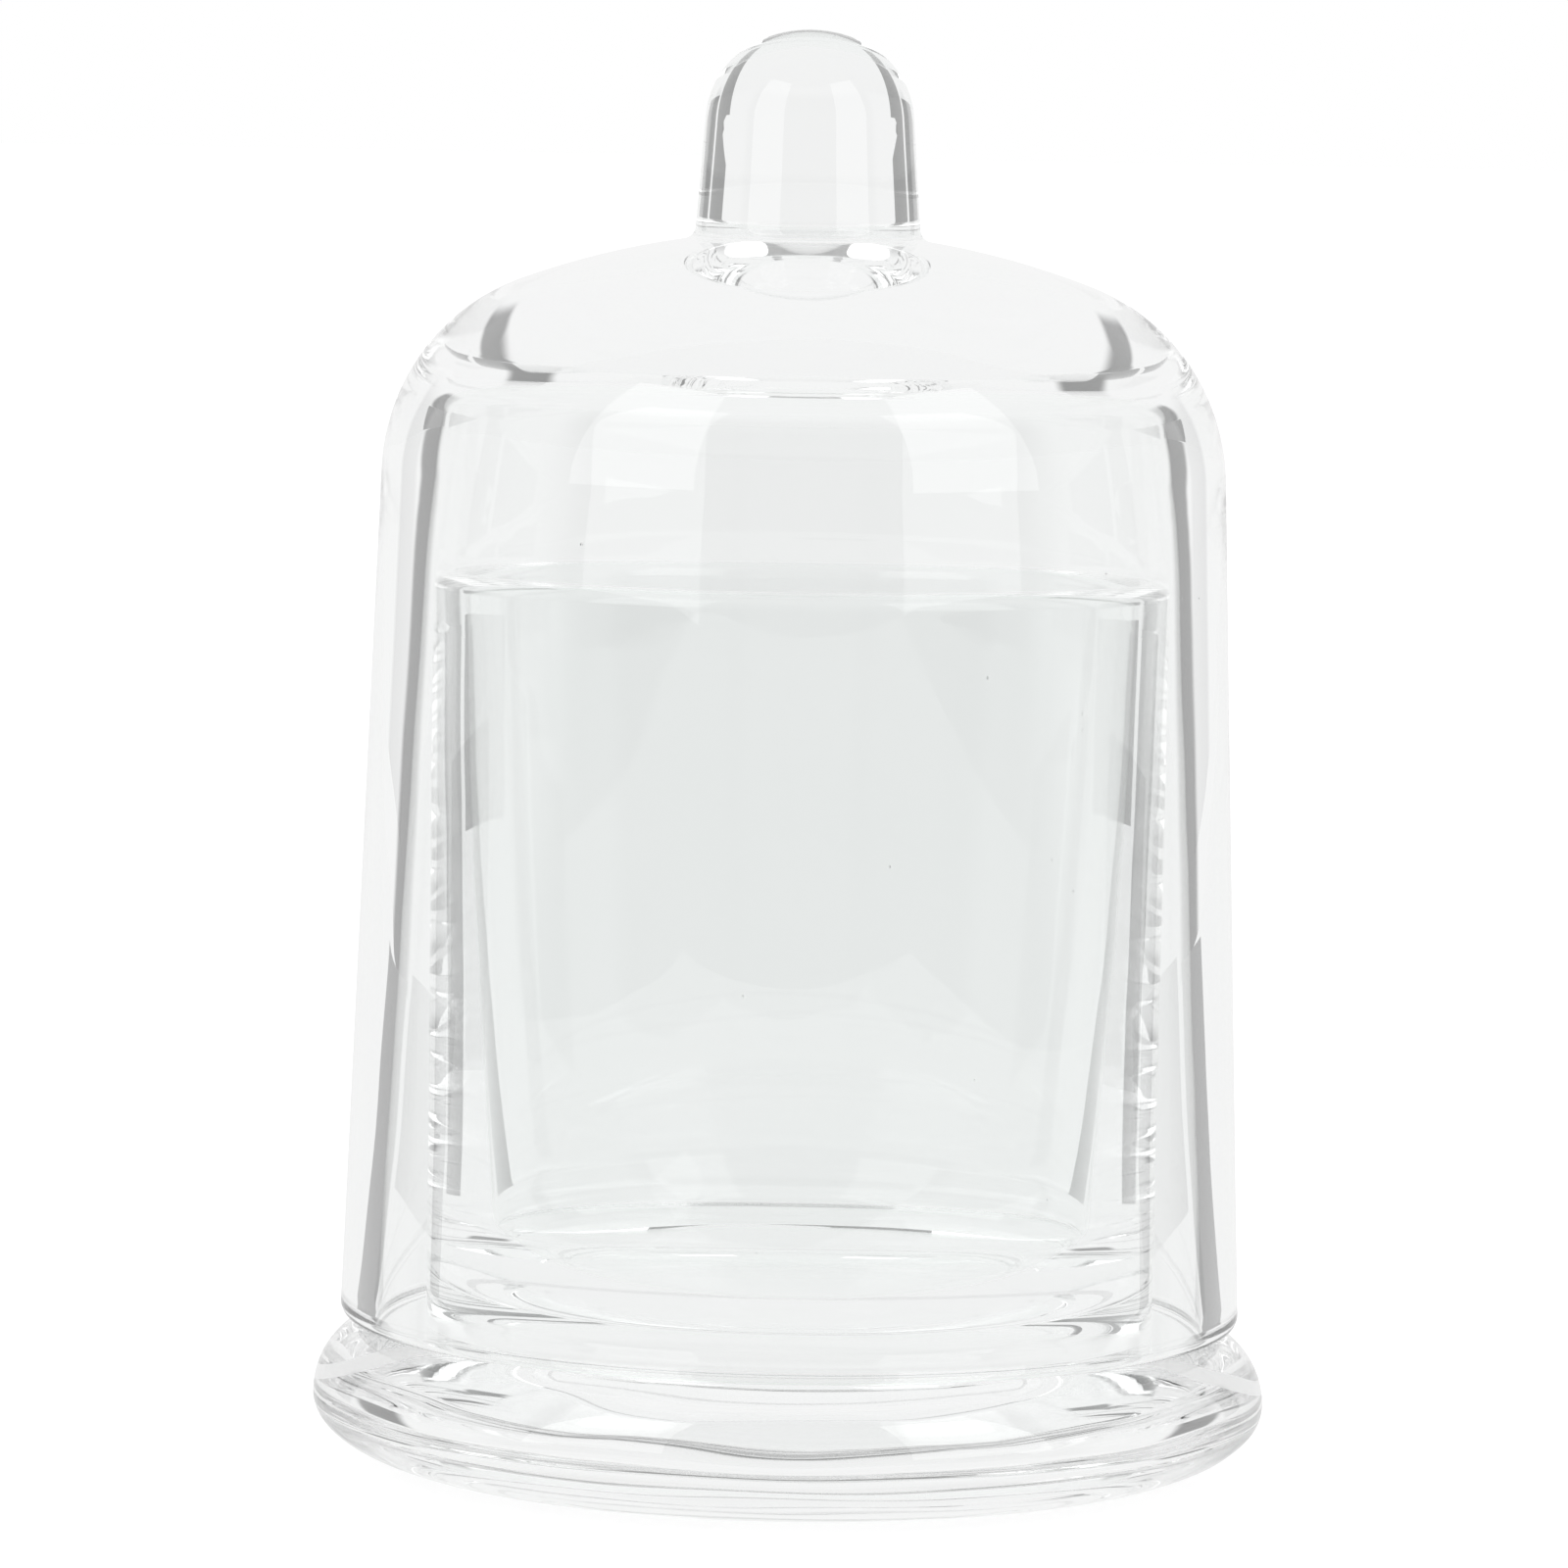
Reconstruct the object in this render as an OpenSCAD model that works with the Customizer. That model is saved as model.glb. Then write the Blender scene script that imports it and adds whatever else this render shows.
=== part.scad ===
// Glass cloche: a lift-off bell with a fused knob, over a cup fused to a thick round foot.
// Millimetres, +Z up. The origin is the centre of the ring that the foot stands on.

/* [Foot] */
// Diameter of the foot at its widest
foot_d = 100.2; // [99:0.2:106]
// Height of the foot's flat top
foot_h = 15.2; // [14:0.1:18]
// Radius of the rounded shoulder between the flat top and the widest line
shoulder_foot_r = 8.2; // [7.5:0.1:9]
// Outer diameter of the flat ring that stands on the table
foot_ring_d = 72; // [68:0.5:76]
// Width of that ring
foot_ring_w = 2; // [1:0.5:4]
// Depth of the shallow hollow under the foot
foot_hollow = 1.6; // [0.6:0.1:3]

/* [Cup] */
// Outer diameter of the cup at its rim
cup_top_d = 77; // [74:0.2:78]
// Outer diameter of the cup where it meets the foot
cup_bottom_d = 76.2; // [74:0.2:77]
// Height of the cup above the foot
cup_h = 78.8; // [60:0.2:84]
// Inner diameter of the cup just under its rounded lip
cup_mouth_d = 70; // [68:0.2:71]
// Inner diameter of the cup where its bottom corner starts
cup_floor_d = 63.4; // [58:0.2:66]
// How late the inner wall closes in towards the floor
cup_bore_curve = 1.45; // [1:0.05:2]
// Thickness of the cup's glass under its floor, above the foot
cup_base_t = 2.4; // [2:0.2:6]
// Radius of the corner between the inner wall and the floor
cup_corner_r = 11; // [8:0.5:13]

/* [Bell] */
// Outer diameter of the bell at its rim
bell_rim_d = 94.4; // [93.6:0.2:95]
// Inner diameter of the bell at its rim
bell_bore_d = 86.8; // [86.2:0.2:87.4]
// Height of the crown's apex above the rim
bell_h = 114.3; // [110:0.1:120]
// Draft of the outer wall, in degrees
bell_draft = 2; // [1.6:0.1:2.2]
// Draft of the inner wall, in degrees
bore_draft = 2.9; // [2.7:0.1:3.1]
// Height above the rim where the inner wall starts to curve in
neck_h = 79; // [74:1:84]
// Radius of that gentle curve
neck_r = 140; // [130:5:200]
// Radius of the spherical crown
crown_r = 85; // [80:1:95]
// Radius of the rounded shoulder between the crown and the wall
shoulder_bell_r = 22; // [20:0.5:24]
// Thickness of the glass at the middle of the crown
crown_t = 9.6; // [9:0.2:11]
// Radius of the domed ceiling inside
ceiling_r = 102; // [96:1:120]
// Radius of the corner between the ceiling and the inner wall
bore_corner_r = 6; // [3:0.5:7]
// Radius of the rim's outer corner
rim_outer_r = 1.5; // [0.6:0.1:1.8]
// Radius of the rim's inner corner
rim_inner_r = 0.8; // [0.4:0.1:1.2]
// Air gap between the rim and the foot's shoulder
seat_gap = 0.05; // [0.05:0.05:0.3]

/* [Knob] */
// Height of the knob above the crown's apex
knob_h = 20.9; // [19:0.1:26]
// Radius of the knob's top
knob_top_r = 12.5; // [11.5:0.1:14]
// Radius of the rounding between the top and the side
knob_round_r = 9.3; // [8.5:0.1:10]
// Draft of the knob's side, in degrees
knob_draft = 4.4; // [3:0.1:6]
// Radius of the fillet that runs out into the crown
knob_fillet_r = 1.4; // [1:0.1:2.6]

/* [Hidden] */
$fn = 180;
clear_glass = [0.87, 0.91, 0.91, 0.35];
arc_step = 4;               // degrees between the points of an arc
bore_steps = 12;            // points down the cup's inner wall
knob_top_half = 30;         // the knob's top arc reaches this far from the axis, in degrees

// Points on an arc about c from one angle to another, in degrees.
function arc(c, r, from, to) =
    let (n = max(2, ceil(abs(to - from) / arc_step)))
    [for (i = [0 : n]) let (a = from + (to - from) * i / n) c + r * [cos(a), sin(a)]];

// Direction from one point to another, in degrees.
function heading(from, to) = atan2(to[1] - from[1], to[0] - from[0]);

// Where two circles cross, on the left of the line from a to b.
function meeting(a, a_r, b, b_r) =
    let (gap = b - a, along = (gap * gap + a_r * a_r - b_r * b_r) / (2 * norm(gap)))
    let (across = sqrt(a_r * a_r - along * along))
    a + (along * gap + across * [-gap[1], gap[0]]) / norm(gap);

// Foot
foot_r = foot_d / 2;
foot_ring_r = foot_ring_d / 2;
shoulder_foot_c = [foot_r - shoulder_foot_r, foot_h - shoulder_foot_r];
hollow_edge_r = foot_ring_r - foot_ring_w;
hollow_r = (pow(hollow_edge_r, 2) + pow(foot_hollow, 2)) / (2 * foot_hollow);
hollow_half = asin(hollow_edge_r / hollow_r);
hollow_step = 2;            // degrees between the points of the hollow
function shoulder_z(r) = shoulder_foot_c[1] + sqrt(pow(shoulder_foot_r, 2) - pow(r - shoulder_foot_c[0], 2));

// Cup
cup_z = foot_h;
cup_rim_z = foot_h + cup_h;
cup_floor_z = foot_h + cup_base_t;
lip_r = (cup_top_d - cup_mouth_d) / 4;
lip_c = [(cup_top_d + cup_mouth_d) / 4, cup_rim_z - lip_r];
// The corner starts at the slope with which the inner wall reaches it.
cup_bore_h = lip_c[1] - cup_floor_z - cup_corner_r;
cup_lean = atan((cup_mouth_d - cup_floor_d) / 2 * cup_bore_curve / cup_bore_h);
cup_corner_c = [cup_floor_d / 2 - cup_corner_r * cos(cup_lean), cup_floor_z + cup_corner_r];
cup_bore_end = cup_corner_c[1] - cup_corner_r * sin(cup_lean);
function cup_bore(t) = [
    (cup_mouth_d - (cup_mouth_d - cup_floor_d) * pow(t, cup_bore_curve)) / 2,
    lip_c[1] + (cup_bore_end - lip_c[1]) * t
];

// Bell: the crown, the shoulder and the wall are tangent to each other
rim_z = shoulder_z(bell_bore_d / 2) + seat_gap;
apex_z = rim_z + bell_h;
crown_c = [0, apex_z - crown_r];
// The shoulder's centre lies where the wall, moved in by its radius, meets the crown moved in by it.
inset = shoulder_bell_r / cos(bell_draft);
wall_dir = [-sin(bell_draft), cos(bell_draft)];
inset_foot = [bell_rim_d / 2 - inset, rim_z] - crown_c;
along = -inset_foot * wall_dir + sqrt(pow(inset_foot * wall_dir, 2) - inset_foot * inset_foot
                                      + pow(crown_r - shoulder_bell_r, 2));
shoulder_bell_c = crown_c + inset_foot + along * wall_dir;
shoulder_top = heading(crown_c, shoulder_bell_c);
// The bore: a drafted wall, a gentle curve in, a round corner and the domed ceiling, tangent to each other.
ceiling_z = apex_z - crown_t;
ceiling_c = [0, ceiling_z - ceiling_r];
neck_foot = [bell_bore_d / 2 - neck_h * tan(bore_draft), rim_z + neck_h];
neck_c = neck_foot - neck_r * [cos(bore_draft), sin(bore_draft)];
bore_corner_c = meeting(neck_c, neck_r - bore_corner_r, ceiling_c, ceiling_r - bore_corner_r);
neck_top = heading(neck_c, bore_corner_c);
bore_corner_top = heading(ceiling_c, bore_corner_c);

// Knob: its fillet is tangent to its side and to the crown
knob_top_z = apex_z + knob_h;
knob_top_c = [0, knob_top_z - knob_top_r];
knob_round_c = knob_top_c + (knob_top_r - knob_round_r) * [sin(knob_top_half), cos(knob_top_half)];
side_out = [cos(knob_draft), sin(knob_draft)];
side_down = [sin(knob_draft), -cos(knob_draft)];
fillet_line = knob_round_c + (knob_round_r + knob_fillet_r) * side_out - crown_c;
fillet_along = -fillet_line * side_down - sqrt(pow(fillet_line * side_down, 2) - fillet_line * fillet_line
                                               + pow(crown_r + knob_fillet_r, 2));
fillet_c = crown_c + fillet_line + fillet_along * side_down;
fillet_low = atan2(crown_c[1] - fillet_c[1], -fillet_c[0]) + 360;
seat = fillet_c + knob_fillet_r * [cos(fillet_low), sin(fillet_low)];

// Thick round foot of solid glass, hollowed a little underneath.
module foot() {
    belly_z = shoulder_foot_c[1];
    color(clear_glass) rotate_extrude() polygon(concat(
        [for (a = [0 : hollow_step : floor(hollow_half / hollow_step) * hollow_step])
            [hollow_r * sin(a), foot_hollow - hollow_r + hollow_r * cos(a)]],
        [[hollow_edge_r, 0]],
        [for (a = [-90 : 2 * arc_step : -2])
            [foot_ring_r + (foot_r - foot_ring_r) * cos(a), belly_z + belly_z * sin(a)]],
        arc(shoulder_foot_c, shoulder_foot_r, 0, 90),
        [[0, foot_h]]
    ));
}

// Inner cup with a rounded lip and a well rounded bottom corner, fused to the foot.
module cup() {
    color(clear_glass) rotate_extrude() polygon(concat(
        [[0, cup_z], [cup_bottom_d / 2, cup_z]],
        arc(lip_c, lip_r, 0, 180),
        [for (i = [1 : bore_steps - 1]) cup_bore(i / bore_steps)],
        arc(cup_corner_c, cup_corner_r, -cup_lean, -90),
        [[0, cup_floor_z]]
    ));
}

// Bell of thick glass, open below, that lifts off the foot.
module bell() {
    rim_out_c = [bell_rim_d / 2 - rim_outer_r, rim_z + rim_outer_r];
    rim_in_c = [bell_bore_d / 2 + rim_inner_r, rim_z + rim_inner_r];
    color(clear_glass) rotate_extrude() polygon(concat(
        arc(rim_out_c, rim_outer_r, -90, 0),
        arc(shoulder_bell_c, shoulder_bell_r, bell_draft, shoulder_top),
        [for (p = arc(crown_c, crown_r, shoulder_top, 90)) if (p[0] > seat[0] + 1) p],
        [seat, [0, seat[1]]],
        arc(ceiling_c, ceiling_r, 90, bore_corner_top),
        arc(bore_corner_c, bore_corner_r, bore_corner_top, neck_top),
        arc(neck_c, neck_r, neck_top, bore_draft),
        arc(rim_in_c, rim_inner_r, 180, 270)
    ));
}

// Solid bullet knob, fused to the middle of the crown.
module knob() {
    color(clear_glass) rotate_extrude() polygon(concat(
        [[0, seat[1]]],
        arc(fillet_c, knob_fillet_r, fillet_low, 180 + knob_draft),
        arc(knob_round_c, knob_round_r, knob_draft, 90 - knob_top_half),
        [for (a = [knob_top_half - arc_step : -arc_step : 1]) knob_top_c + knob_top_r * [sin(a), cos(a)]],
        [[0, knob_top_z]]
    ));
}

foot();
cup();
bell();
knob();
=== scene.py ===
"""Glass bell jar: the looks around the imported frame. Metres, +Z up, seen from -Y."""
import math
import random

import bmesh
import bpy
import numpy as np
from mathutils import Matrix, Vector


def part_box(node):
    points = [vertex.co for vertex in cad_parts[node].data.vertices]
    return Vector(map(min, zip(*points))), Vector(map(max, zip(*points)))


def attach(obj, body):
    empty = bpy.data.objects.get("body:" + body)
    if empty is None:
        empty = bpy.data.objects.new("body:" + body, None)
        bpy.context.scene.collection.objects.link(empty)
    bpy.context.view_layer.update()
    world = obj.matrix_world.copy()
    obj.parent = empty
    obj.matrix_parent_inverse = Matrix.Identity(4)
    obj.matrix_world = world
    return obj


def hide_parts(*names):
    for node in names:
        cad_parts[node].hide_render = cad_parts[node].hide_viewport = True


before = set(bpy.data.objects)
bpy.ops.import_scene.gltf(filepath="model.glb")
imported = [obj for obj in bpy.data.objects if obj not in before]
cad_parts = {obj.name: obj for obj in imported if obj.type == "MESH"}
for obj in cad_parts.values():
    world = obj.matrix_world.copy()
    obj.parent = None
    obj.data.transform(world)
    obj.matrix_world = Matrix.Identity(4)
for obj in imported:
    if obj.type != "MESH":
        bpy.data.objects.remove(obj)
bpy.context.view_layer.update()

MM = 0.001
UP = 90                     # degrees, straight up in an outline
SEGMENTS = 288              # steps around every lathed piece
ARC_STEP = 1.5              # degrees between the points of an arc
WALL_STEP = 1.5 * MM        # between the rings of a straight stretch
CUP_STEP = 0.6 * MM         # the same on the cup, which is seen through the bell
TINY = 1e-6                 # metres, for points that should coincide
SEED = 20

# Hand-worked surfaces
WAVE_H = 0.045 * MM         # how far all the surfaces dip
TOOLED_H = 0.16 * MM        # how much further the foot's edge dips
EDGE_FADE = 4 * MM          # over which the foot's waves grow
WAVES = {"count": 9, "lobes": (1, 6), "lengths": (14, 60)}
FOOT_WAVES = {"count": 7, "lobes": (5, 15), "lengths": (9, 24)}

# Bubbles in the glass, called seeds
SEED_R = (0.07 * MM, 0.15 * MM)
SEED_STRETCH = (1.1, 1.8)   # how long they are against their width
SEED_TAPER = 0.15
SEED_DEPTH = (0.35, 0.65)   # where they lie across the wall
SEED_SMOOTH = 3             # subdivisions
BELL_SEEDS = 11
CUP_SEEDS = 5

# Glass
IOR = 1.5
TINT = (0.988, 0.993, 0.991, 1)
TINT_DEEP = (0.979, 0.988, 0.985, 1)
DRIFT_SCALE = 60            # of the tint and the haze
HAZE = 0.0045               # the most roughness
SKIN_SCALE = 160
SKIN_H = 0.02 * MM
SKIN_STRENGTH = 0.2

# Studio, in metres and degrees
TABLE = (-0.83, 0.83, -1.5, 3)      # left, right, front, back
SWEEP = (-12, 12, -12, 12)
LIFT = 0.02 * MM                    # of the cards over the table
WORLD_BRIGHT, WORLD_DARK = 0.93, 0.27
BELOW = (-9.7, -8.3)                # under these elevations the world is dark
FRONT_AZIMUTH = (112, 100)          # from the back, where the dim front begins
FRONT_TOP = (30, 42)                # elevations where the dim front ends
GAP = {"azimuth": 44, "half": 5.5, "top": 16}
GAP_EDGE = 1.5                      # softness of its sides
GAP_TOP_EDGE = 3                    # softness of its top


# ---------------------------------------------------------------- outlines
# An outline is a list of (radius, height) from the axis to the axis.

def polar(centre, radius, degrees):
    """The point of a circle at an angle."""
    angle = math.radians(degrees)
    return centre[0] + radius * math.cos(angle), centre[1] + radius * math.sin(angle)


def arc(centre, radius, start, end):
    """Points of an arc from one angle to another, in degrees."""
    steps = max(2, math.ceil(abs(end - start) / ARC_STEP))
    return [polar(centre, radius, start + (end - start) * i / steps) for i in range(steps + 1)]


def line_to_circle(point, direction, centre, radius):
    """How far along a line its last crossing of a circle lies, and the first."""
    px, pz = point[0] - centre[0], point[1] - centre[1]
    along = -(px * direction[0] + pz * direction[1])
    half = math.sqrt(along ** 2 - px ** 2 - pz ** 2 + radius ** 2)
    return along + half, along - half


def meeting(a, a_r, b, b_r):
    """Where two circles cross, on the side away from the axis."""
    dx, dz = b[0] - a[0], b[1] - a[1]
    gap = math.hypot(dx, dz)
    along = (gap ** 2 + a_r ** 2 - b_r ** 2) / (2 * gap)
    across = math.sqrt(a_r ** 2 - along ** 2)
    crossings = []
    for side in (-1, 1):
        x = a[0] + (along * dx + side * across * dz) / gap
        z = a[1] + (along * dz - side * across * dx) / gap
        crossings.append((x, z))
    return max(crossings)


def heading(start, end):
    """Direction from one point to another, in degrees."""
    return math.degrees(math.atan2(end[1] - start[1], end[0] - start[0]))


def divided(outline, step):
    """The outline with its long stretches cut into short ones."""
    points = [outline[0]]
    for (r0, z0), (r1, z1) in zip(outline, outline[1:]):
        parts = max(1, math.ceil(math.hypot(r1 - r0, z1 - z0) / step))
        for i in range(1, parts + 1):
            points.append((r0 + (r1 - r0) * i / parts, z0 + (z1 - z0) * i / parts))
    return points


class Foot:
    """Thick round foot with a full rounded edge, hollowed a little underneath."""
    low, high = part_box("foot")
    r = high.x
    top = high.z
    edge_r = 8.2 * MM
    ring_r = 36 * MM
    ring_w = 2 * MM
    hollow = 1.6 * MM
    edge_centre = (r - edge_r, top - edge_r)

    @classmethod
    def outline(cls, seam_r):
        """From the hollow's middle out under the ring, round the belly and the shoulder to the seam."""
        inner = cls.ring_r - cls.ring_w
        hollow_r = (inner ** 2 + cls.hollow ** 2) / (2 * cls.hollow)
        half = math.degrees(math.asin(inner / hollow_r))
        hollow = arc((0, cls.hollow - hollow_r), hollow_r, UP, UP - half)
        belly = cls.edge_centre[1]
        under = []
        for angle in np.radians(np.arange(-UP, 0, ARC_STEP)):
            across = cls.ring_r + (cls.r - cls.ring_r) * math.cos(angle)
            under.append((across, belly + belly * math.sin(angle)))
        shoulder = arc(cls.edge_centre, cls.edge_r, 0, UP)
        return hollow + under + shoulder + [(seam_r, cls.top), (0, cls.top)]


class Cup:
    """Straight cup with a rounded lip and a well rounded bottom corner."""
    low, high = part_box("cup")
    foot_z = low.z
    rim_z = high.z
    top_r = high.x
    bottom_r = 38.1 * MM
    mouth_r = 35 * MM
    floor_r = 31.7 * MM
    base_t = 2.4 * MM
    corner_r = 11 * MM
    bore_curve = 1.45
    bore_steps = 40
    lip_r = (top_r - mouth_r) / 2
    lip_centre = ((top_r + mouth_r) / 2, rim_z - lip_r)
    floor_z = foot_z + base_t
    bore_h = lip_centre[1] - floor_z - corner_r
    lean = math.degrees(math.atan((mouth_r - floor_r) * bore_curve / bore_h))
    corner = (floor_r - corner_r * math.cos(math.radians(lean)), floor_z + corner_r)
    bore_end = corner[1] - corner_r * math.sin(math.radians(lean))

    @classmethod
    def bore(cls, t):
        """A point of the inner wall, from the lip at 0 to the floor's corner at 1."""
        radius = cls.mouth_r - (cls.mouth_r - cls.floor_r) * t ** cls.bore_curve
        return radius, cls.lip_centre[1] + (cls.bore_end - cls.lip_centre[1]) * t

    @classmethod
    def outline(cls):
        """From the seam up the outside, over the lip and down the bore to the floor."""
        bore = [cls.bore(i / cls.bore_steps) for i in range(1, cls.bore_steps)]
        corner = arc(cls.corner, cls.corner_r, -cls.lean, -UP)
        return ([(0, cls.foot_z), (cls.bottom_r, cls.foot_z)] + arc(cls.lip_centre, cls.lip_r, 0, 180)
                + bore + corner + [(0, cls.floor_z)])


class Bell:
    """Thick-walled bell with a heavy crown, open below."""
    low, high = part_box("bell")
    rim_z = low.z
    rim_r = 47.2 * MM
    bore_r = 43.4 * MM
    apex_z = rim_z + 114.3 * MM
    draft = 2
    bore_draft = 2.9
    neck_h = 79 * MM
    neck_r = 140 * MM
    crown_r = 85 * MM
    shoulder_r = 22 * MM
    crown_t = 9.6 * MM
    ceiling_r = 102 * MM
    corner_r = 6 * MM
    rim_out_r = 1.5 * MM
    rim_in_r = 0.8 * MM
    crown_centre = (0, apex_z - crown_r)
    ceiling_z = apex_z - crown_t
    ceiling_centre = (0, ceiling_z - ceiling_r)

    @classmethod
    def shoulder(cls):
        """Centre of the shoulder's arc, tangent to the drafted side and to the crown."""
        angle = math.radians(cls.draft)
        start = (cls.rim_r - cls.shoulder_r / math.cos(angle), cls.rim_z)
        rise = (-math.sin(angle), math.cos(angle))
        along = line_to_circle(start, rise, cls.crown_centre, cls.crown_r - cls.shoulder_r)[0]
        return start[0] + along * rise[0], start[1] + along * rise[1]

    @classmethod
    def bore(cls):
        """From the rim to the ceiling's centre: a drafted wall that curves in, a corner and a low dome."""
        slope = math.tan(math.radians(cls.bore_draft))
        neck = polar((cls.bore_r - cls.neck_h * slope, cls.rim_z + cls.neck_h), -cls.neck_r, cls.bore_draft)
        corner = meeting(neck, cls.neck_r - cls.corner_r, cls.ceiling_centre, cls.ceiling_r - cls.corner_r)
        side, top = heading(neck, corner), heading(cls.ceiling_centre, corner)
        return (arc(neck, cls.neck_r, cls.bore_draft, side) + arc(corner, cls.corner_r, side, top)[1:]
                + arc(cls.ceiling_centre, cls.ceiling_r, top, UP)[1:])

    @classmethod
    def outline(cls, seat):
        """From the knob's seat down the outside, round the rim and up the bore."""
        shoulder = cls.shoulder()
        shoulder_top = heading(cls.crown_centre, shoulder)
        seat_angle = heading(cls.crown_centre, seat)
        rim_out = (cls.rim_r - cls.rim_out_r, cls.rim_z + cls.rim_out_r)
        rim_in = (cls.bore_r + cls.rim_in_r, cls.rim_z + cls.rim_in_r)
        return ([(0, seat[1])] + arc(cls.crown_centre, cls.crown_r, seat_angle, shoulder_top)
                + arc(shoulder, cls.shoulder_r, shoulder_top, cls.draft)[1:]
                + arc(rim_out, cls.rim_out_r, 0, -UP) + arc(rim_in, cls.rim_in_r, -UP, -180) + cls.bore())


class Knob:
    """Solid bullet knob with a fillet that runs out into the crown."""
    low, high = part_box("knob")
    top_z = high.z
    top_r = 12.5 * MM
    round_r = 9.3 * MM
    top_half = 30
    draft = 4.4
    fillet_r = 1.4 * MM
    top_centre = (0, top_z - top_r)
    round_centre = polar(top_centre, top_r - round_r, UP - top_half)

    @classmethod
    def fillet(cls):
        """Centre of the fillet, and the point where it runs out into the crown."""
        angle = math.radians(cls.draft)
        start = polar(cls.round_centre, cls.round_r + cls.fillet_r, cls.draft)
        fall = (math.sin(angle), -math.cos(angle))
        along = line_to_circle(start, fall, Bell.crown_centre, Bell.crown_r + cls.fillet_r)[1]
        centre = (start[0] + along * fall[0], start[1] + along * fall[1])
        low = math.degrees(math.atan2(Bell.crown_centre[1] - centre[1], -centre[0])) + 360
        return centre, low

    @classmethod
    def outline(cls):
        """From the seam up the fillet and the side, and over the top."""
        centre, low = cls.fillet()
        side = arc(centre, cls.fillet_r, low, 180 + cls.draft)
        edge = arc(cls.round_centre, cls.round_r, cls.draft, UP - cls.top_half)
        top = arc(cls.top_centre, cls.top_r, UP - cls.top_half, UP)[1:]
        return [(0, side[0][1])] + side + edge + top


# ---------------------------------------------------------------- meshes

def make_waves(count, lobes, lengths):
    """Random shallow waves: lobes round the axis, length up it in millimetres, phase and hand."""
    made = []
    for _ in range(count):
        lobe = random.randint(*lobes)
        length = random.uniform(*lengths) * MM
        made.append((lobe, length, random.uniform(0, 2 * math.pi), random.choice((-1, 1))))
    return made


def dip(waves, angle, r, z):
    """How deep the waves are at a point, from 0 to 1; the radius sets inner and outer surfaces apart."""
    total = 0
    for lobe, length, phase, hand in waves:
        total += math.sin(lobe * angle + hand * (2 * math.pi * z / length) + phase + r / MM)
    return 0.5 + 0.5 * total / len(waves)


def tooled(waves, angle, r, z):
    """The foot's hand-tooled edge: deeper, shorter waves that fade out towards the seam and the ring."""
    share = min(1, max(0, (r - Foot.ring_r - EDGE_FADE) / EDGE_FADE))
    return TOOLED_H * share * dip(waves, angle, r, z)


def surface_r(part, waves, angle, r, z):
    """The radius once the waves have dipped it."""
    sunk = WAVE_H * dip(waves["all"], angle, r, z)
    if part == "foot":
        sunk += tooled(waves["foot"], angle, r, z)
    return r - min(sunk, r / 2)


def lathe(name, part, outline, seam_z, seam_r, materials, waves):
    """A closed surface of revolution; its flat disc at the fused seam takes the second material."""
    step = CUP_STEP if part == "cup" else WALL_STEP
    rings = divided(outline, step)[1:-1]
    angles = [i * 2 * math.pi / SEGMENTS for i in range(SEGMENTS)]
    verts = [(0, 0, outline[0][1])]
    for r, z in rings:
        for angle in angles:
            here = surface_r(part, waves, angle, r, z)
            verts.append((here * math.cos(angle), here * math.sin(angle), z))
    verts.append((0, 0, outline[-1][1]))
    last = len(verts) - 1
    faces = []
    for j in range(SEGMENTS):
        k = (j + 1) % SEGMENTS
        faces.append((0, 1 + k, 1 + j))
        for i in range(len(rings) - 1):
            a, b = 1 + i * SEGMENTS, 1 + (i + 1) * SEGMENTS
            faces.append((a + j, a + k, b + k, b + j))
        a = 1 + (len(rings) - 1) * SEGMENTS
        faces.append((last, a + j, a + k))
    mesh = bpy.data.meshes.new(name)
    mesh.from_pydata(verts, [], faces)
    shade(mesh, seam_z, seam_r)
    return placed(name, mesh, materials)


def shade(mesh, seam_z, seam_r):
    """Outward normals, smooth faces, and the second material on the seam's disc."""
    bm = bmesh.new()
    bm.from_mesh(mesh)
    bmesh.ops.recalc_face_normals(bm, faces=bm.faces)
    for face in bm.faces:
        face.smooth = True
        flat = all(abs(v.co.z - seam_z) < TINY for v in face.verts)
        within = all(math.hypot(v.co.x, v.co.y) < seam_r + TINY for v in face.verts)
        face.material_index = int(flat and within)
    for edge in bm.edges:
        if len({face.material_index for face in edge.link_faces}) > 1:
            edge.smooth = False
    bm.to_mesh(mesh)
    bm.free()


def placed(name, mesh, materials):
    """The mesh as an object in the scene."""
    for material in materials:
        mesh.materials.append(material)
    piece = bpy.data.objects.new(name, mesh)
    bpy.context.scene.collection.objects.link(piece)
    return piece


def seeds(name, spots, materials):
    """Tiny bubbles in the glass, drawn out a little upwards; their normals point inwards, to the air."""
    bm = bmesh.new()
    for centre, radius, stretch in spots:
        ball = bmesh.ops.create_icosphere(bm, subdivisions=SEED_SMOOTH, radius=radius)["verts"]
        for vert in ball:
            taper = 1 - SEED_TAPER * vert.co.z / radius
            drawn = Vector((vert.co.x * taper, vert.co.y * taper, vert.co.z * stretch))
            vert.co = drawn + Vector(centre)
    bmesh.ops.reverse_faces(bm, faces=bm.faces)
    for face in bm.faces:
        face.smooth = True
    mesh = bpy.data.meshes.new(name)
    bm.to_mesh(mesh)
    bm.free()
    return placed(name, mesh, materials)


def seed_spots(count, low, high, inner, outer):
    """Random places in a wall between two heights; inner and outer give its radii at a height."""
    spots = []
    for _ in range(count):
        z = random.uniform(low, high)
        r = inner(z) + (outer(z) - inner(z)) * random.uniform(*SEED_DEPTH)
        angle = random.uniform(0, 2 * math.pi)
        centre = (r * math.cos(angle), r * math.sin(angle), z)
        spots.append((centre, random.uniform(*SEED_R), random.uniform(*SEED_STRETCH)))
    return spots


# ---------------------------------------------------------------- materials

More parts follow.
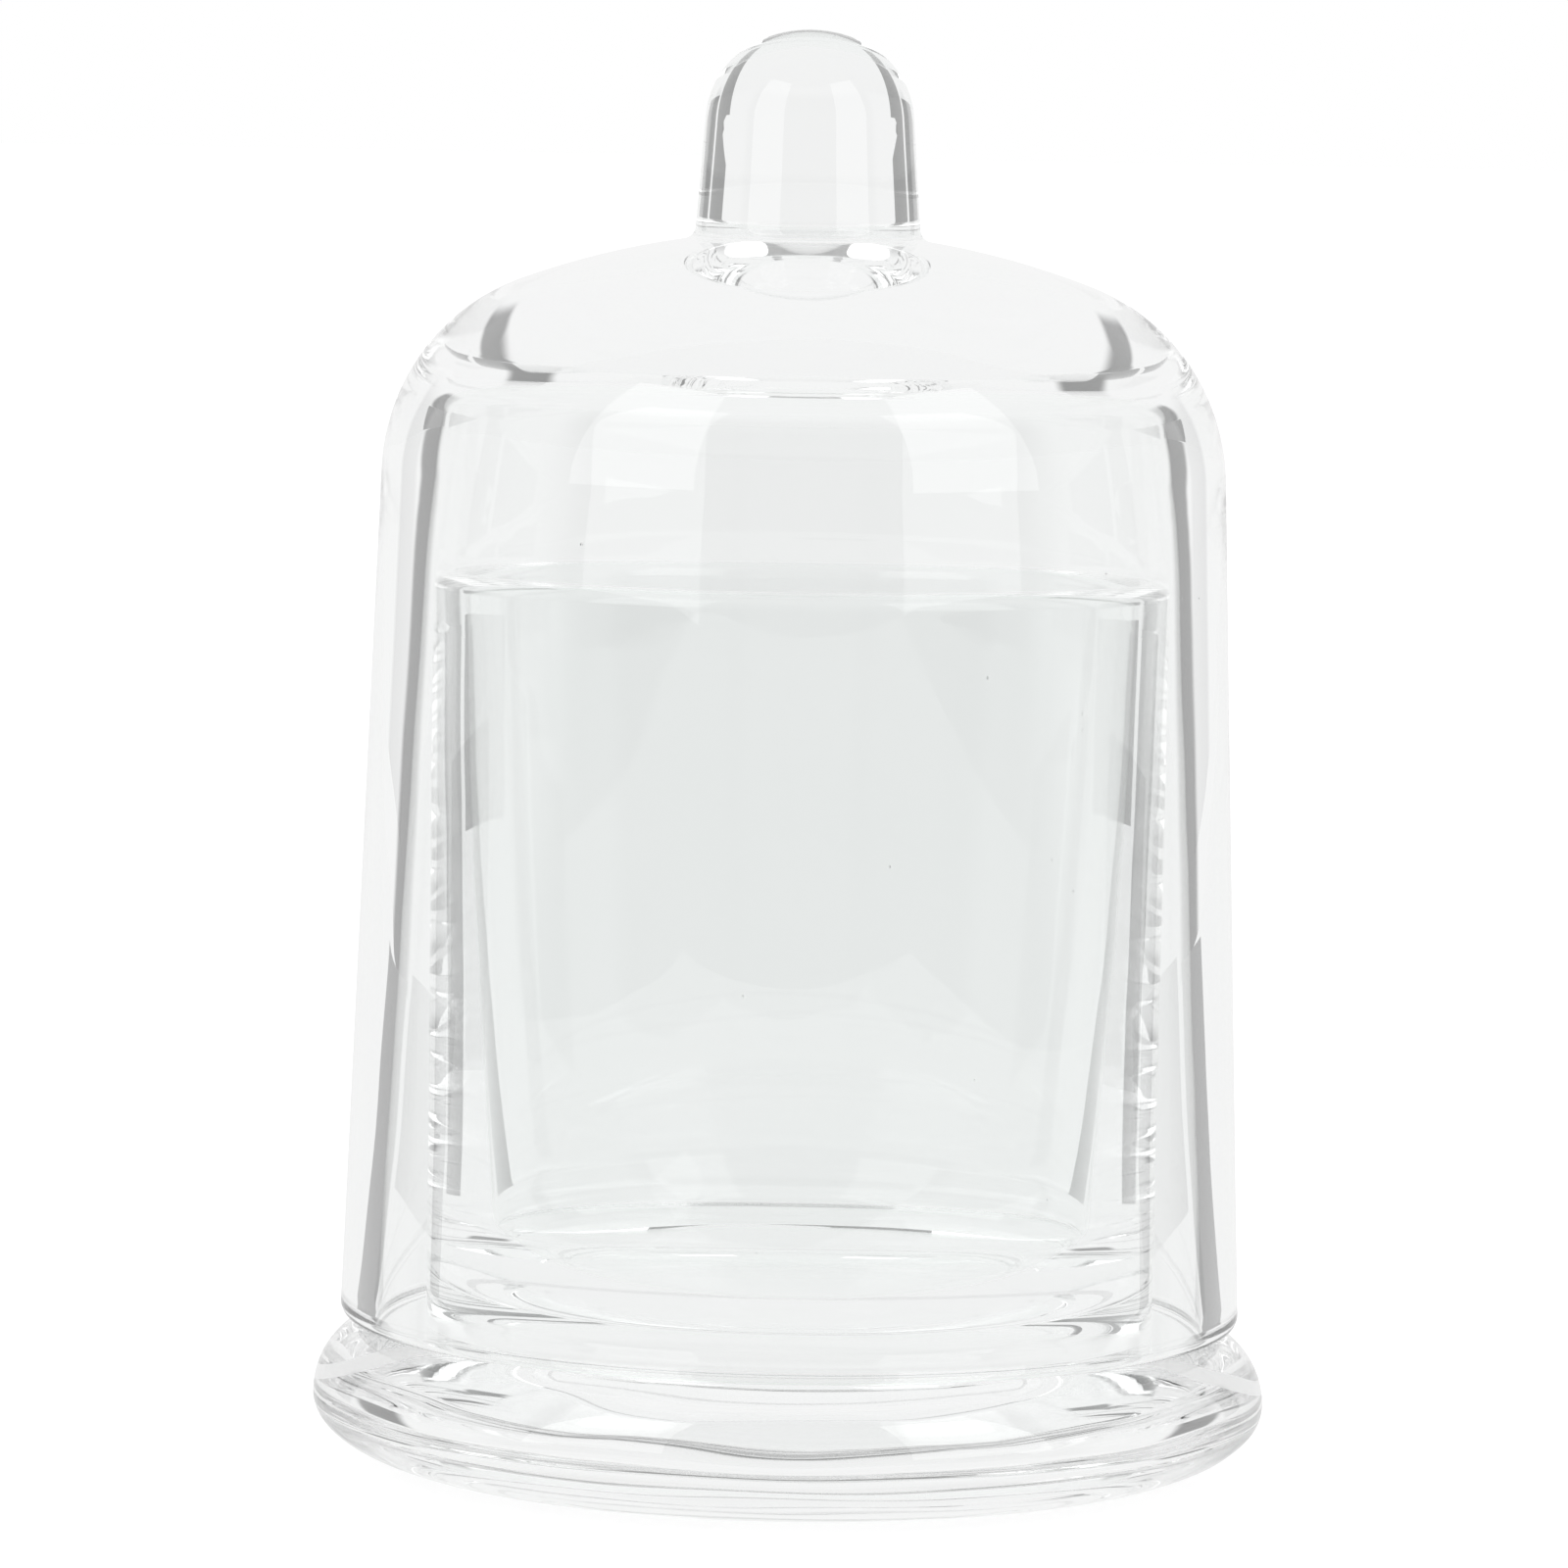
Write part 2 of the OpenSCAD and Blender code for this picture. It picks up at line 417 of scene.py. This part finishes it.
def node(tree, kind, **settings):
    """A new shader node with some of its settings."""
    made = tree.nodes.new(kind)
    for key, value in settings.items():
        setattr(made, key, value)
    return made


def noise(tree, scale, detail):
    """Noise over the object's own coordinates."""
    where = node(tree, "ShaderNodeTexCoord").outputs["Object"]
    made = node(tree, "ShaderNodeTexNoise")
    made.inputs["Scale"].default_value = scale
    made.inputs["Detail"].default_value = detail
    tree.links.new(where, made.inputs["Vector"])
    return made.outputs["Fac"]


def clear_glass():
    """Clear soda glass with a faint tint that drifts, a hint of handling haze and a barely uneven skin."""
    material = bpy.data.materials.new("clear_glass")
    material.use_nodes = True
    tree = material.node_tree
    shader = tree.nodes["Principled BSDF"]
    drift = noise(tree, DRIFT_SCALE, 1)
    tint = node(tree, "ShaderNodeMix", data_type="RGBA")
    tree.links.new(drift, tint.inputs["Factor"])
    tint.inputs["A"].default_value = TINT
    tint.inputs["B"].default_value = TINT_DEEP
    tree.links.new(tint.outputs["Result"], shader.inputs["Base Color"])
    haze = node(tree, "ShaderNodeMath", operation="MULTIPLY")
    tree.links.new(drift, haze.inputs[0])
    haze.inputs[1].default_value = HAZE
    tree.links.new(haze.outputs[0], shader.inputs["Roughness"])
    skin = node(tree, "ShaderNodeBump")
    skin.inputs["Strength"].default_value = SKIN_STRENGTH
    skin.inputs["Distance"].default_value = SKIN_H
    tree.links.new(noise(tree, SKIN_SCALE, 0), skin.inputs["Height"])
    tree.links.new(skin.outputs["Normal"], shader.inputs["Normal"])
    shader.inputs["IOR"].default_value = IOR
    shader.inputs["Transmission Weight"].default_value = 1.0
    return material


def seam_glass():
    """Nothing to see: light crosses the fused seam as if the glass were one piece."""
    material = bpy.data.materials.new("glass_seam")
    material.use_nodes = True
    nodes = material.node_tree.nodes
    nodes.clear()
    out = nodes.new("ShaderNodeOutputMaterial")
    clear = nodes.new("ShaderNodeBsdfTransparent")
    material.node_tree.links.new(clear.outputs[0], out.inputs["Surface"])
    return material


# ---------------------------------------------------------------- the object

def build_pieces():
    """The four glass pieces in the place of their CAD nodes."""
    random.seed(SEED)
    glass = [clear_glass(), seam_glass()]
    centre, low = Knob.fillet()
    seat = polar(centre, Knob.fillet_r, low)
    pieces = [
        ("glass_foot", "foot", "base", Foot.outline(Cup.bottom_r), Foot.top, Cup.bottom_r),
        ("glass_cup", "cup", "base", Cup.outline(), Cup.foot_z, Cup.bottom_r),
        ("glass_bell", "bell", "dome", Bell.outline(seat), seat[1], seat[0]),
        ("glass_knob", "knob", "dome", Knob.outline(), seat[1], seat[0]),
    ]
    waves = {"all": make_waves(**WAVES), "foot": make_waves(**FOOT_WAVES)}
    for name, part, body, outline, seam_z, seam_r in pieces:
        piece = lathe(name, part, outline, seam_z, seam_r, glass, waves)
        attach(piece, body)
        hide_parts(part)
    build_seeds(glass)


def build_seeds(glass):
    """A few bubbles in the bell's wall and in the cup's."""
    def bell_in(z):
        return Bell.bore_r - (z - Bell.rim_z) * math.tan(math.radians(Bell.bore_draft))

    def bell_out(z):
        return Bell.rim_r - (z - Bell.rim_z) * math.tan(math.radians(Bell.draft))

    bell_low, bell_high = Bell.rim_z + 45 * MM, Bell.rim_z + 85 * MM
    cup_low, cup_high = Cup.floor_z + 6 * MM, Cup.rim_z - 10 * MM
    bell = seed_spots(BELL_SEEDS, bell_low, bell_high, bell_in, bell_out)
    cup = seed_spots(CUP_SEEDS, cup_low, cup_high, lambda z: Cup.mouth_r, lambda z: Cup.bottom_r)
    for name, spots, body in (("seeds_bell", bell, "dome"), ("seeds_cup", cup, "base")):
        piece = seeds(name, spots, glass[:1])
        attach(piece, body)


# ---------------------------------------------------------------- studio

def camera():
    """A long lens in front of the jar and a little above it, at the photograph's angle."""
    side, distance, height, aim_z = -0.0015, 0.880, 0.147, 0.0715
    roll = math.radians(1.0)
    data = bpy.data.cameras.new("camera")
    data.sensor_width = 36
    data.lens = 193.5
    data.clip_start = 0.01
    data.clip_end = 50
    eye = bpy.data.objects.new("camera", data)
    bpy.context.scene.collection.objects.link(eye)
    eye.location = (side, -distance, height)
    look = Vector((side, 0, aim_z)) - Vector(eye.location)
    eye.rotation_mode = "QUATERNION"
    tilt = Matrix.Rotation(roll, 4, "Z").to_quaternion()
    eye.rotation_quaternion = look.to_track_quat("-Z", "Y") @ tilt
    bpy.context.scene.camera = eye


def softbox(name, azimuth, distance, width, height, low, power):
    """A rectangular light that stands at an azimuth from the camera's side and faces the jar."""
    data = bpy.data.lights.new(name, "AREA")
    data.shape = "RECTANGLE"
    data.size = width
    data.size_y = height
    data.energy = power
    box = bpy.data.objects.new(name, data)
    bpy.context.scene.collection.objects.link(box)
    angle = math.radians(azimuth)
    box.location = (distance * math.sin(angle), -distance * math.cos(angle), low + height / 2)
    aim = Vector((0, 0, low + height / 2)) - Vector(box.location)
    box.rotation_mode = "QUATERNION"
    box.rotation_quaternion = aim.to_track_quat("-Z", "Y")
    box.visible_camera = False


def studio_world():
    """Bright behind, dim in front, with dark gaps low down at the sides; the camera sees plain white."""
    world = bpy.data.worlds.new("studio")
    bpy.context.scene.world = world
    world.use_nodes = True
    tree = world.node_tree
    tree.nodes.clear()

    def calc(op, *values):
        """A sum on sockets and numbers."""
        made = node(tree, "ShaderNodeMath", operation=op)
        for i, value in enumerate(values):
            if isinstance(value, (int, float)):
                made.inputs[i].default_value = value
            else:
                tree.links.new(value, made.inputs[i])
        return made.outputs[0]

    def ramp(value, full, none):
        """1 at the full angle, falling smoothly to 0 at the other, both in degrees."""
        made = node(tree, "ShaderNodeMapRange", interpolation_type="SMOOTHSTEP", clamp=True)
        tree.links.new(value, made.inputs["Value"])
        made.inputs["From Min"].default_value = math.radians(none)
        made.inputs["From Max"].default_value = math.radians(full)
        return made.outputs["Result"]

    def gap(azimuth, half, top):
        """A dark gap around an azimuth from the Y axis, up to an elevation."""
        aside = calc("ABSOLUTE", calc("SUBTRACT", fold, math.radians(azimuth)))
        low = ramp(elevation, top - GAP_TOP_EDGE, top + GAP_TOP_EDGE)
        return calc("MULTIPLY", ramp(aside, half - GAP_EDGE, half + GAP_EDGE), low)

    where = node(tree, "ShaderNodeTexCoord").outputs["Generated"]
    parts = node(tree, "ShaderNodeSeparateXYZ")
    tree.links.new(where, parts.inputs[0])
    x, y, z = parts.outputs
    fold = calc("ARCTAN2", calc("ABSOLUTE", x), calc("ABSOLUTE", y))
    elevation = calc("ARCSINE", z)
    below = ramp(elevation, *BELOW)
    from_back = calc("ARCTAN2", calc("ABSOLUTE", x), y)
    front = calc("MULTIPLY", ramp(from_back, *FRONT_AZIMUTH), ramp(elevation, *FRONT_TOP))
    shade = calc("MAXIMUM", gap(**GAP), calc("MAXIMUM", below, front))
    level = calc("MULTIPLY_ADD", shade, WORLD_DARK - WORLD_BRIGHT, WORLD_BRIGHT)
    seen = node(tree, "ShaderNodeLightPath").outputs["Is Camera Ray"]
    mixed = node(tree, "ShaderNodeMix", data_type="FLOAT")
    tree.links.new(seen, mixed.inputs["Factor"])
    tree.links.new(level, mixed.inputs["A"])
    mixed.inputs["B"].default_value = 1.0
    background = node(tree, "ShaderNodeBackground")
    background.inputs["Color"].default_value = (1, 1, 1, 1)
    tree.links.new(mixed.outputs["Result"], background.inputs["Strength"])
    out = node(tree, "ShaderNodeOutputWorld")
    tree.links.new(background.outputs[0], out.inputs[0])


def sheet(name, verts, faces, material):
    """A flat piece of the set."""
    mesh = bpy.data.meshes.new(name)
    mesh.from_pydata(verts, [], faces)
    mesh.materials.append(material)
    made = bpy.data.objects.new(name, mesh)
    bpy.context.scene.collection.objects.link(made)
    return made


def rectangle(left, right, front, back):
    """Corners of a rectangle on the table's plane."""
    return [(left, front, 0), (right, front, 0), (right, back, 0), (left, back, 0)]


def floor_material(name, colour, glow):
    """A matt grey that glows a little, so the set stays even."""
    material = bpy.data.materials.new(name)
    material.use_nodes = True
    shader = material.node_tree.nodes["Principled BSDF"]
    shader.inputs["Base Color"].default_value = (colour, colour, colour, 1)
    shader.inputs["Roughness"].default_value = 0.9
    shader.inputs["Specular IOR Level"].default_value = 0.1
    shader.inputs["Emission Color"].default_value = (1, 1, 1, 1)
    shader.inputs["Emission Strength"].default_value = glow
    return material


def seen_by(piece, *kinds):
    """Only these kinds of rays meet the piece."""
    for kind in ("camera", "diffuse", "glossy", "transmission", "shadow"):
        setattr(piece, "visible_" + kind, kind in kinds)


def pale_floor():
    """The table: white to the camera, a little greyer through the glass by painted shade on a second copy
    of it, and a white sweep beyond it.
    """
    table = rectangle(*TABLE)
    whole = [(0, 1, 2, 3)]
    white = sheet("floor", table, whole, floor_material("pale_floor", 0.35, 0.85))
    seen_by(white, "camera", "diffuse", "shadow")
    # painted shade: a darker copy of the table, glowing less, that only rays through the glass and in its
    # reflections meet, so the floor seen in the glass looks dimmer than the floor around it
    grey = sheet("floor_through_glass", table, whole, floor_material("pale_floor_painted_shade", 0.35, 0.57))
    seen_by(grey, "transmission", "glossy")
    around = [(i, (i + 1) % 4, 4 + (i + 1) % 4, 4 + i) for i in range(4)]
    sweep_material = floor_material("pale_sweep", 0.02, 1.1)
    sweep = sheet("floor_far", rectangle(*SWEEP) + table, around, sweep_material)
    seen_by(sweep, "camera")


def dark_card(name, verts):
    """A dark card on the table's plane, seen through the glass only."""
    half = len(verts) // 2
    faces = [(i, i + 1, half + i + 1, half + i) for i in range(half - 1)]
    card = sheet(name, verts, faces, floor_material("dark_card", 0.05, 0.25))
    seen_by(card, "transmission")


def ring_part(azimuth, half, inner, outer, steps=12):
    """Points of a flat ring's part, its inner arc and then its outer one; azimuth from the Y axis."""
    turns = [math.radians(azimuth - half + 2 * half * i / steps) for i in range(steps + 1)]
    return [(r * math.sin(t), r * math.cos(t), LIFT) for r in (inner, outer) for t in turns]


def studio():
    """Two softboxes in front, and dark cards that draw the lines along the walls and the knob."""
    camera()
    studio_world()
    pale_floor()
    for name, side in (("left", -1), ("right", 1)):
        softbox("softbox_" + name, side * 47, distance=1.2, width=0.78, height=1.5, low=0.155, power=4.8)
        dark_card("gap_" + name, ring_part(side * 45, half=6.5, inner=0.13, outer=1.2))
        dark_card("wing_" + name, ring_part(side * 65, half=11, inner=0.45, outer=1.35))
    scene = bpy.context.scene
    scene.view_settings.view_transform = "Standard"
    scene.cycles.max_bounces = 64
    scene.cycles.transmission_bounces = 48
    scene.cycles.glossy_bounces = 64
    scene.cycles.transparent_max_bounces = 32


build_pieces()
studio()
